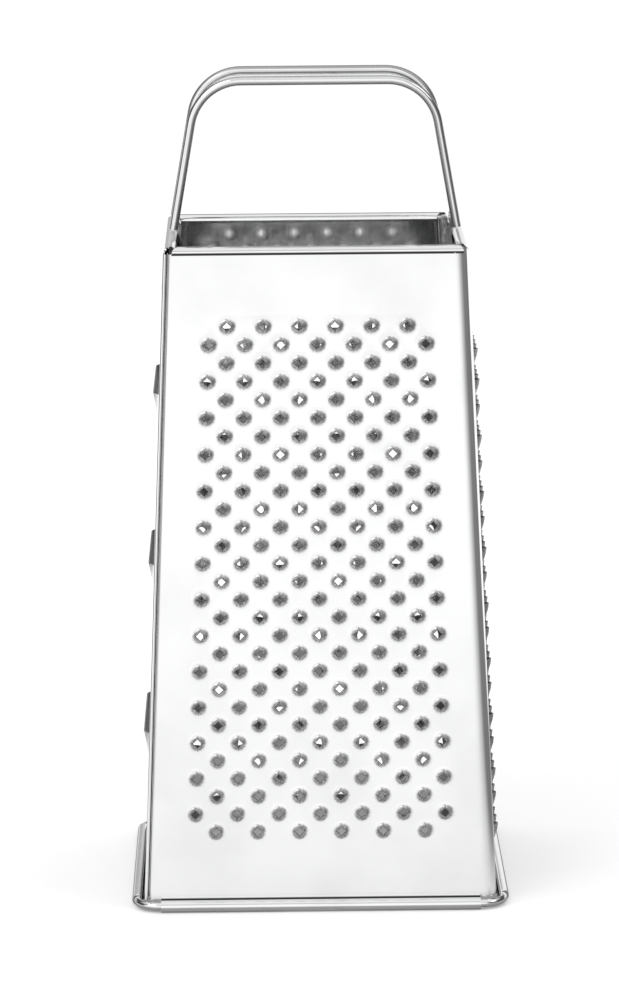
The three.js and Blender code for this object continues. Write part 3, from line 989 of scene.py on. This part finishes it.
@dataclass
class RaspPanel(FoldedPanel):
    """Front side: raised points, each pierced by a diamond hole with a torn lip."""

    rows: Rows = Rows(29, 5.04, 163.4, (9.8, 11.6), (6, 7))
    sides: int = 12
    rings: Sequence[Plan] = ((2.6, 0.05), (2.1, 0.2), (1.7, 0.52), (1.36, 0.84))
    support: float = 3.2
    peak: float = 0.12
    core: Plan = (0.1, 0.7)
    skirt: Plan = (0.01, 0.1)
    # Angle round the point, and how far its core and its skirt are drawn in there.
    shoulders: Sequence[Spot] = (
        (-150, 0.97, 0.97), (180, 0.92, 0.94), (150, 0.84, 0.88), (120, 0.78, 0.84),
        (90, 0.98, 0.85), (60, 0.74, 0.95), (30, 0.82, 1.0), (0, 0.92, 1.0),
    )  # fmt: skip

    @staticmethod
    def draw_in(angle: float, rises: Plan, factor: float) -> None:
        """Draw the open point in at one angle round it, between two heights over the sheet.

        Args:
            angle: The angle, in degrees.
            rises: The two heights.
            factor: What the distance from the point's axis is multiplied by.
        """
        way = Vector((math.cos(math.radians(angle)), math.sin(math.radians(angle))))
        low, high = rises
        Bench.pick_points(
            lambda spot: low < spot.z < high and spot.xy.normalized().dot(way) > SAME_WAY
        )
        Bench.resize((factor, factor, 1.0), (0.0, 0.0, 0.0))

    def raised_point(self) -> Piece:
        """Model one pierced point.

        Returns:
            The point, with its flat outline marked.
        """
        point = Bench.ring("raised_point", self.sides, self.support)
        rings = ((self.support, 0.0), *self.rings)
        Bench.draw([((0.0, 0.0, up), (radius, radius, 1.0)) for radius, up in rings])
        rise = self.rings[-1][1]

        def off_axes(spot: Vector) -> bool:
            """Whether a place is away from the diamond's four corners."""
            return min(abs(spot.x), abs(spot.y)) > TOUCH

        straight = 1 / (math.cos(math.pi / 6) + math.sin(math.pi / 6))
        Bench.pick_points(lambda spot: spot.z > rise - TOUCH and off_axes(spot))
        Bench.resize((straight, straight, 1.0), (0.0, 0.0, rise))
        Bench.pick_points(lambda spot: spot.z > rise - TOUCH and not off_axes(spot))
        bpy.ops.transform.translate(value=(0.0, 0.0, self.peak))
        for angle, core_factor, skirt_factor in self.shoulders:
            self.draw_in(angle, self.core, core_factor)
            self.draw_in(angle, self.skirt, skirt_factor)
        Bench.mark_outline(self.support)
        Bench.clear()
        mark_raised_shade(point, rise)
        return point

    def patterns(self) -> Patterns:
        """The raised points and their places."""
        return [(self.raised_point(), [self.place(*spot) for spot in self.rows.spots()])]


@dataclass(frozen=True)
class HoodCut:
    """Size and spacing of one kind of shredding tooth, in millimetres."""

    rows: Rows
    width: float
    rise: float
    length: float
    mouth: float
    mouth_line: Sequence[Plan]
    strips: int
    stations: Sequence[Spot]  # down the hood, and its width and rise there, as shares

    def hood(self) -> Piece:
        """Model one drawn hood with its cutting edge up, and the slot over it.

        Returns:
            The hood, with its flat outline marked.
        """
        hood = Bench.ring("hood", 4 * self.strips, 1.0)
        chord = math.cos(math.pi / 4)
        Bench.pick_points(lambda spot: spot.y < chord - WELD)
        bpy.ops.mesh.delete(type="VERT")
        Bench.pick_all()
        bpy.ops.transform.translate(value=(0.0, -chord, 0.0))
        hood.rotation_euler = (math.pi / 2, 0.0, 0.0)
        hood.scale = (self.width / (2 * chord), self.rise / (1 - chord), 1.0)
        Bench.settle(hood)

        Bench.edit(hood)
        bpy.ops.mesh.select_mode(type="EDGE")
        Bench.pick_all()
        stations = ((0.0, 1.0, 1.0), *self.stations)
        places = [(0.0, -down * self.length, 0.0) for down, _, _ in stations]
        Bench.draw(list(zip(places, ((across, 1.0, up) for _, across, up in stations))))
        half = self.width / 2
        side = [(half, 0.0), *((across * half, up * self.mouth) for across, up in self.mouth_line)]
        slot = [(-across, up, 0.0) for across, up in side]
        slot += [(across, up, 0.0) for across, up in reversed(side)]
        ring_the_slot(slot, half, self.length, self.mouth)
        Bench.clear()
        mark_raised_shade(hood, self.rise)
        return hood


COARSE = HoodCut(
    rows=Rows(18, 7.91, 153.9, (6.5, 7.5), (6, 7)),
    width=4.7,
    rise=1.8,
    length=6.0,
    mouth=0.7,
    mouth_line=((0.8, 0.7), (0.35, 1.0)),
    strips=8,
    stations=((0.25, 0.98, 0.86), (0.52, 0.84, 0.56), (0.8, 0.55, 0.2), (1.0, 0.22, 0.0)),
)
FINE = HoodCut(
    rows=Rows(19, 7.84, 151.1, (6.13, 7.23), (11, 10)),
    width=3.5,
    rise=1.1,
    length=2.8,
    mouth=4.1,
    mouth_line=((0.88, 0.3), (0.86, 0.6), (0.66, 0.88), (0.28, 1.0)),
    strips=6,
    stations=((0.3, 0.9, 0.8), (0.65, 0.6, 0.38), (1.0, 0.2, 0.0)),
)


@dataclass
class ShredderPanel(FoldedPanel):
    """A side with rows of drawn hoods that cut upwards."""

    cut: HoodCut = COARSE

    def patterns(self) -> Patterns:
        """The hoods and their places."""
        return [(self.cut.hood(), [self.place(*spot) for spot in self.cut.rows.spots()])]


@dataclass
class SlicerPanel(FoldedPanel):
    """Left side: long blades pressed out of the sheet, each with its edge up."""

    blades: int = 3
    blade_top: float = 143.0
    blade_pitch: float = 48.2
    blade_length: float = 46.0
    slot: float = 0.8
    slot_taper: float = 0.8
    ramp: float = 7.7
    section: Sequence[Plan] = (
        (-7.7, 0.0), (-7.0, 0.1), (-6.0, 0.36), (-4.0, 0.84), (-2.0, 1.32), (0.0, 1.8),
    )  # fmt: skip
    ends: Sequence[Plan] = ((20.4, 0.93), (21.4, 0.66), (22.3, 0.28), (23.0, 0.0))
    straight: float = 19.2

    def blade(self) -> Piece:
        """Model one blade with its ends drawn down into the sheet.

        Returns:
            The blade, with its flat outline marked.
        """
        line = [(-self.straight, up, out) for up, out in self.section]
        blade = Bench.chain("blade", line)
        bpy.ops.mesh.select_mode(type="EDGE")
        Bench.pull((2 * self.straight, 0.0, 0.0))
        self.draw_down(1.0)
        Bench.pick_borders(lambda spot: spot.x < TOUCH - self.straight)
        self.draw_down(-1.0)
        half = self.blade_length / 2
        corner = (half - self.slot_taper, self.slot, 0.0)
        slot = [(-half, 0.0, 0.0), (-corner[0], *corner[1:]), corner, (half, 0.0, 0.0)]
        ring_the_slot(slot, half, self.ramp, self.slot)
        Bench.clear()
        mark_raised_shade(blade, 2 * self.section[-1][1])
        return blade

    def draw_down(self, way: float) -> None:
        """Extrude the selected end of a blade and lower it into the sheet, to the right or left."""
        ends = ((self.straight, 1.0), *self.ends)
        Bench.draw([((way * along, 0.0, 0.0), (1.0, 1.0, height)) for along, height in ends])

    def patterns(self) -> Patterns:
        """The blades and their places."""
        heights = [self.blade_top - i * self.blade_pitch for i in range(self.blades)]
        return [(self.blade(), [self.place(0.0, height) for height in heights])]


@dataclass
class BaseWire:
    """The wire ring in the hems, in millimetres."""

    half_width: float = 51.0
    half_depth: float = 40.6
    corner: float = 6.0
    split: float = 0.6
    sides: int = 14
    bend_steps: int = 10
    crease: float = 50.0

    def build(self) -> None:
        """Model the wire from one end round to the other and dress it."""
        height = RIM.wire_height
        across, along = self.half_width - self.corner, self.half_depth - self.corner
        Bench.clear()
        bpy.ops.mesh.primitive_circle_add(
            vertices=self.sides,
            radius=RIM.wire / 2,
            fill_type="NOTHING",
            location=(self.split / 2, self.half_depth, height),
            rotation=(0.0, math.pi / 2, 0.0),
        )
        wire = Bench.opened("base_wire")
        first = across - self.split / 2
        runs = ((first, 0.0), (0.0, -2 * along), (-2 * across, 0.0), (0.0, 2 * along))
        middles = ((across, along), (across, -along), (-across, -along), (-across, along))
        for run, middle in zip(runs, middles):
            Bench.pull((*run, 0.0))
            Bench.spin(90.0, self.bend_steps, (*middle, height), (0.0, 0.0, 1.0))
        Bench.pull((first, 0.0, 0.0))
        Bench.pick_all()
        bpy.ops.mesh.fill_holes(sides=0)
        bpy.ops.mesh.normals_make_consistent(inside=False)
        Bench.deliver(wire, "base_wire", 0.0, self.crease)
        WIRE_STEEL.dress(wire)


@dataclass
class StrapHandle:
    """The strap handle with rolled edges, and a tongue down inside each side, in millimetres."""

    strap: float = 0.6
    span: float = 24.0
    roll: float = 2.4
    top: float = 229.1
    bend: float = 14.0
    bend_steps: int = 14
    lean: float = 10.0
    foot: float = 2.1
    inset: float = 2.65
    top_width: float = 83.2
    tongue_width: float = 22.0
    tongue_drop: float = 24.0
    tongue_settle: float = 8.5
    tongue_ease: float = 1.1
    tongue_steps: int = 3
    crease: float = 50.0
    curl_turn: Plan = (-90.0, 209.0)
    curl_steps: int = 24
    # Angle round a rolled edge, and how much painted shade darkens it there, where it turns under
    # and in; the mark also makes it rougher.
    edge_shade: Sequence[Plan] = (
        (-90, 0.85), (-12, 0.85), (3, 0.0), (35, 0.0), (50, 0.35), (75, 0.5),
        (90, 0.8), (148, 0.8), (160, 0.0), (186, 0.0), (196, 0.8), (209, 0.8),
    )  # fmt: skip

    @property
    def curl(self) -> float:
        """Radius of a rolled edge, to the middle of the strap."""
        return (self.roll - self.strap) / 2

    @property
    def web_foot(self) -> Plan:
        """Where the web ends over the right rim."""
        across = self.top_width / 2 - self.inset - self.curl * math.cos(math.radians(self.lean))
        return across, RIM.height + self.foot

    @property
    def bend_middle(self) -> Plan:
        """Middle of the right corner bend."""
        slope = math.radians(self.lean)
        across, height = self.web_foot
        web_top = self.top - self.roll + self.strap / 2
        sharp = across - (web_top - height) * math.tan(slope)
        radius = self.bend - self.curl
        return sharp - radius * math.tan((math.pi / 2 - slope) / 2), web_top - radius

    def section(self) -> list[Spot]:
        """Section of the strap at the right foot, from one rolled edge to the other."""
        slope = math.radians(self.lean)
        across, height = self.web_foot
        curl = arc((self.span / 2, self.curl), self.curl, *self.curl_turn, self.curl_steps)
        flat = [(self.tongue_width / 2, 0.0), *curl]
        line = [(-y, out) for y, out in reversed(flat)] + flat
        return [
            (across + out * math.cos(slope), y, height + out * math.sin(slope)) for y, out in line
        ]

    def sweep(self) -> Piece:
        """Sweep the section up one leg, over the top and down the other.

        Returns:
            The bare strap, in edit mode.
        """
        handle = Bench.chain("handle_strap", self.section())
        self.mark_edge_shade(handle)
        slope = math.radians(self.lean)
        foot, height = self.web_foot
        across, up = self.bend_middle
        radius = self.bend - self.curl
        inwards = across + radius * math.cos(slope) - foot
        rise = up + radius * math.sin(slope) - height
        Bench.pull((inwards, 0.0, rise))
        Bench.spin(90 - self.lean, self.bend_steps, (across, 0.0, up), (0.0, 1.0, 0.0))
        Bench.pull((-2 * across, 0.0, 0.0))
        Bench.spin(90 - self.lean, self.bend_steps, (-across, 0.0, up), (0.0, 1.0, 0.0))
        Bench.pull((inwards, 0.0, -rise))
        return handle

    def shade_share(self, angle: float) -> float:
        """How much painted shade darkens a rolled edge at an angle round it, and makes it rougher.
        """
        for (start, low), (end, high) in zip(self.edge_shade, self.edge_shade[1:]):
            if start <= angle <= end:
                return low + (high - low) * (angle - start) / (end - start)
        return 0.0

    def mark_edge_shade(self, handle: Piece) -> None:
        """Mark painted shade where the bare section's edges roll under and in, and open it for the
        sweep.
        """
        first, last = self.curl_turn
        turns = [first + (last - first) * i / self.curl_steps for i in range(self.curl_steps + 1)]
        shares = [0.0, *(self.shade_share(angle) for angle in turns)]
        Bench.clear()
        Bench.mark(handle, ROUGH_AND_SHADE, [*reversed(shares), *shares])
        Bench.edit(handle)
        Bench.pick_all()
        bpy.ops.mesh.select_mode(type="EDGE")

    def tongue_line(self, panel: FoldedPanel) -> list[Plan]:
        """Section of a tongue: in past the rim roll, then out against the panel.

        Args:
            panel: The panel that it is riveted to.

        Returns:
            Distances from the upright axis and heights, from the web down.
        """
        past_roll = self.top_width / 2 - RIM.roll - STOCK.clearance - self.strap / 2
        settled, end = RIM.height - self.tongue_settle, RIM.height - self.tongue_drop

        def against(height: float) -> float:
            """Middle of the tongue where it lies against the panel."""
            return panel.reach(height) - STOCK.sheet - STOCK.clearance - self.strap / 2

        jog = [
            self.web_foot,
            (past_roll, RIM.height),
            (past_roll, RIM.roll_base - RIM.lip - STOCK.clearance),
            (against(settled), settled),
            (against(end), end),
        ]
        return softened(jog, self.tongue_ease, self.tongue_steps)

    def add_tongue(self, handle: Piece, panel: FoldedPanel) -> None:
        """Draw one tongue down from the web and drill it for its rivets."""
        way = 1.0 if panel.side is Side.RIGHT else -1.0
        line = [(way * across, 0.0, height) for across, height in self.tongue_line(panel)]
        half = Vector((0.0, self.tongue_width / 2, 0.0))
        Bench.edit(handle)
        Bench.pick_between(Vector(line[0]) - half, Vector(line[0]) + half)
        Bench.pull_along(line)
        start, end = Vector(line[-2]), Vector(line[-1])
        Bench.open_face(start - half, start + half, end - half, end + half)
        upright = (start - end).normalized()
        aside = Vector((0.0, way, 0.0))
        turn = Matrix((aside, upright, aside.cross(upright))).transposed().to_4x4()
        level = start.lerp(end, (start.z - panel.rivet_height) / (start.z - end.z))
        spots = [Vector((level.x, along, level.z)) for along in panel.rivet_places]
        hole = panel.drilled_hole()
        rings = [Bench.copy_to(hole, Matrix.Translation(spot) @ turn) for spot in spots]
        Bench.discard(hole)
        Bench.join(handle, rings)
        Bench.edit(handle)
        Bench.fill_between_marked()

    def build(self, panels: Sequence[FoldedPanel]) -> None:
        """Model the handle and dress it.

        Args:
            panels: The two panels that it is riveted to.
        """
        handle = self.sweep()
        for panel in panels:
            self.add_tongue(handle, panel)
        Bench.thicken(handle, self.strap)
        Bench.deliver(handle, "handle_strap", 0.0, self.crease)
        HANDLE_STEEL.dress(handle)


@dataclass
class Rivets:
    """The rivets that hold the tongues, in millimetres."""

    shank: float = 1.3
    head: float = 3.0
    head_height: float = 0.5
    seat: float = 0.15
    grip: float = 1.3
    inner_head: Sequence[Plan] = ((0.0, 1.0), (0.72, 1.0), (0.92, 0.75), (1.0, 0.3), (1.0, 0.0))
    outer_head: Sequence[Plan] = (
        (1.0, 0.0), (0.99, 0.25), (0.88, 0.55), (0.64, 0.82), (0.33, 0.96), (0.0, 1.0),
    )  # fmt: skip
    sides: int = 28
    crease: float = 40.0

    def pattern(self) -> Piece:
        """Model one rivet along Z, with its outer head at the top.

        Returns:
            The rivet, in object mode.
        """
        outer, inner = self.seat, -self.grip - self.seat
        crown, head = self.head_height, self.head
        profile = [
            *((across * head, 0.0, inner - up * crown) for across, up in self.inner_head),
            (self.shank, 0.0, inner),
            (self.shank, 0.0, outer),
            *((across * head, 0.0, outer + up * crown) for across, up in self.outer_head),
        ]
        rivet = Bench.chain("rivet", profile)
        bpy.ops.mesh.select_mode(type="EDGE")
        Bench.spin(360.0, self.sides, (0.0, 0.0, 0.0), (0.0, 0.0, 1.0))
        Bench.weld()
        Bench.clear()
        return rivet

    def build(self, panels: Sequence[FoldedPanel]) -> None:
        """Set two rivets in each panel and dress them.

        Args:
            panels: The panels that the tongues are riveted to.
        """
        pattern = self.pattern()
        face = Matrix.Translation((0.0, 0.0, STOCK.sheet / 2))
        for panel in panels:
            for along in panel.rivet_places:
                end = "front" if along * math.sin(panel.side.turn) < 0 else "back"
                node = f"rivet_{panel.side.name.lower()}_{end}"
                rivet = Bench.copy_to(pattern, panel.place(along, panel.rivet_height) @ face)
                Bench.settle(rivet)
                Bench.deliver(rivet, node, panel.side.turn, self.crease)
                RIVET_STEEL.dress(rivet)
        Bench.discard(pattern)


@dataclass
class Studio:
    """Plain pale floor, soft light and the camera at the photograph's angle, in metres."""

    focal_pixels: float = 4359.744
    picture_height: float = 998.0
    axis_row: float = 493.49
    spot: Spot = (-0.016665, -1.19802, 0.376417)
    pitch: float = 0.219
    yaw: float = 0.0123
    roll: float = -0.007
    sensor: float = 36.0
    clip: Plan = (0.01, 50.0)

    floor_size: float = 12.0
    floor_colour: Sequence[float] = (0.9, 0.9, 0.9, 1.0)
    floor_glow: float = 0.22
    left_weight: float = -0.5
    slant_start: float = 0.15
    wider_foot: float = 0.01
    front_fade: Ramp = ((0.05, 1.0), (0.95, 0.2))
    front_reach: Ramp = ((-1.6, 0.98), (-0.1, 0.84))
    rear_fade: Ramp = ((0.05, 0.0), (0.2, 1.0))
    foot_shade: Ramp = ((0.044, 0.4), (0.06, 1.0))
    inside_glow: Ramp = ((0.034, 1.0), (0.044, 0.12))

    soft_light: float = 0.9
    eye_white: float = 1.0
    # How the pale screen and the pale wall fade along X, Y and Z, as seen in the metal.
    screen: Sequence[Ramp] = (
        ((0.15, 1.0), (0.6, 0.15)), ((-0.5, 1.0), (-0.1, 0.0)), ((0.5, 1.0), (0.75, 0.5)),
    )  # fmt: skip
    wall: Sequence[Ramp] = (
        ((-0.2, 0.45), (0.2, 0.9)), ((0.4, 0.0), (0.8, 1.0)), ((0.25, 1.0), (0.5, 0.0)),
    )  # fmt: skip
    ceiling: Ramp = ((0.55, 0.06), (0.9, 0.85))
    aim: Spot = (0.0, 0.0, 0.1)

    def add_camera(self) -> None:
        """Add the camera and make it the scene's."""
        data = bpy.data.cameras.new("camera")
        data.sensor_width = self.sensor
        data.lens = self.focal_pixels * self.sensor / self.picture_height
        data.shift_y = (self.axis_row - self.picture_height / 2) / self.picture_height
        data.clip_start, data.clip_end = self.clip
        camera = bpy.data.objects.new("camera", data)
        camera.matrix_world = Matrix.Translation(self.spot)
        for angle, axis in ((-self.yaw, "Z"), (math.pi / 2 - self.pitch, "X"), (self.roll, "Z")):
            camera.matrix_world @= Matrix.Rotation(angle, 4, axis)
        bpy.context.scene.collection.objects.link(camera)
        bpy.context.scene.camera = camera

    @staticmethod
    def seen_rays(board: NodeBoard) -> tuple[Socket, Socket]:
        """Which rays look at the background.

        Args:
            board: The tree to add the nodes to.

        Returns:
            Whether a ray is mirrored, and whether it goes to the eye, straight or through glass.
        """
        path = board.add("ShaderNodeLightPath")
        straight, through = path.outputs["Is Camera Ray"], path.outputs["Is Transmission Ray"]
        return path.outputs["Is Glossy Ray"], board.math("MAXIMUM", straight, through)

    def mirrored_floor(self, board: NodeBoard, place: Socket) -> Socket:
        """Brightness of the floor in the metal: pale in front and behind, dark at the right and
        close under the object.

        Args:
            board: The tree to add it to.
            place: Place on the floor.

        Returns:
            The brightness.
        """
        across, along, _ = board.split(place)
        ahead = board.math("ABSOLUTE", along)
        aside = board.math("MAXIMUM", across, board.times(across, self.left_weight))
        slant = board.math("DIVIDE", aside, board.math("ADD", ahead, self.slant_start))
        reach = board.ramp(along, *self.front_reach)
        front = board.times(board.ramp(slant, *self.front_fade), reach)
        pale = board.math("MAXIMUM", front, board.ramp(along, *self.rear_fade))
        beside = board.math("SUBTRACT", board.math("ABSOLUTE", across), self.wider_foot)
        edge = board.math("MAXIMUM", beside, ahead)
        return board.times(pale, board.ramp(edge, *self.foot_shade))

    def add_floor(self) -> None:
        """Lay the pale floor; a faint glow makes it white to the eye, and it keeps the shadow."""
        Bench.clear()
        bpy.ops.mesh.primitive_plane_add(size=self.floor_size)
        floor = bpy.context.object
        floor.name = "floor"
        material = bpy.data.materials.new("pale_floor")
        material.use_nodes = True
        board = NodeBoard(material.node_tree)
        mirrored, eye = self.seen_rays(board)
        place = board.add("ShaderNodeTexCoord").outputs["Object"]
        in_metal = self.mirrored_floor(board, place)
        shade = board.mix("RGBA", mirrored, self.floor_colour, in_metal)
        distance = board.add("ShaderNodeVectorMath", {0: place}, operation="LENGTH")
        inside = board.ramp(distance.outputs["Value"], *self.inside_glow)
        glows = board.times(eye, self.floor_glow), board.times(mirrored, inside)
        light = {"Color": shade, "Strength": board.math("ADD", *glows)}
        glow = board.add("ShaderNodeEmission", light).outputs["Emission"]
        paint = board.add("ShaderNodeBsdfDiffuse", {"Color": shade}).outputs["BSDF"]
        both = board.add("ShaderNodeAddShader", {0: paint, 1: glow})
        board.add("ShaderNodeOutputMaterial", {"Surface": both.outputs["Shader"]})
        floor.data.materials.append(material)

    def add_world(self) -> None:
        """Surround the object: white to the eye, soft light, and in the metal a pale screen in
        front, a grey ceiling and a pale wall low behind."""
        world = bpy.data.worlds.new("tent")
        bpy.context.scene.world = world
        world.use_nodes = True
        board = NodeBoard(world.node_tree)
        mirrored, eye = self.seen_rays(board)
        way = board.split(board.add("ShaderNodeTexCoord").outputs["Generated"])
        room = board.ramp(way["Z"], *self.ceiling)
        for fades in (self.screen, self.wall):
            pale = board.times(*(board.ramp(part, *fade) for part, fade in zip(way, fades)))
            room = board.math("MAXIMUM", room, pale)
        light = board.mix("FLOAT", eye, self.soft_light, self.eye_white)
        surround = {"Color": (1.0, 1.0, 1.0, 1.0)}
        surround["Strength"] = board.mix("FLOAT", mirrored, light, room)
        background = board.add("ShaderNodeBackground", surround)
        board.add("ShaderNodeOutputWorld", {"Surface": background.outputs["Background"]})

    def add_lamp(self, name: str, spot: Spot, size: float, power: float) -> None:
        """Hang a square soft lamp that points at the object.

        Args:
            name: The lamp's name.
            spot: Where it hangs, in metres.
            size: Length of its side, in metres.
            power: Its power, in watts.
        """
        data = bpy.data.lights.new(name, "AREA")
        data.size = size
        data.energy = power
        lamp = bpy.data.objects.new(name, data)
        aim = Vector(self.aim) - Vector(spot)
        turn = aim.to_track_quat("-Z", "Y").to_matrix().to_4x4()
        lamp.matrix_world = Matrix.Translation(spot) @ turn
        bpy.context.scene.collection.objects.link(lamp)

    def build(self) -> None:
        """Set the whole stage."""
        bpy.context.scene.view_settings.view_transform = "Standard"
        self.add_camera()
        self.add_floor()
        self.add_world()
        self.add_lamp("key", (-0.9, -0.9, 1.5), 0.9, 5.0)
        self.add_lamp("fill", (1.1, -0.5, 1.2), 0.7, 2.0)


def main() -> None:
    """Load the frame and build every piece."""
    logging.basicConfig(level=logging.INFO, format="%(name)s: %(message)s")
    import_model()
    Studio().build()

    wide, deep = (83.2, 98.0), (61.0, 77.2)
    far, near = [width / 2 for width in wide], [width / 2 for width in deep]
    tight, plain, round_bend = 0.45, 1.5, 3.0
    rivets = (-7.0, 7.0)
    front = RaspPanel(Side.FRONT, *wide, *near, tight, round_bend)
    right = ShredderPanel(Side.RIGHT, *deep, *far, round_bend, plain, rivets, cut=COARSE)
    back = ShredderPanel(Side.BACK, *wide, *near, plain, plain, cut=FINE)
    left = SlicerPanel(Side.LEFT, *deep, *far, plain, tight, rivets)
    for panel in (front, right, back, left):
        panel.build()
    BaseWire().build()
    StrapHandle().build((right, left))
    Rivets().build((right, left))


if __name__ == "__main__":
    main()
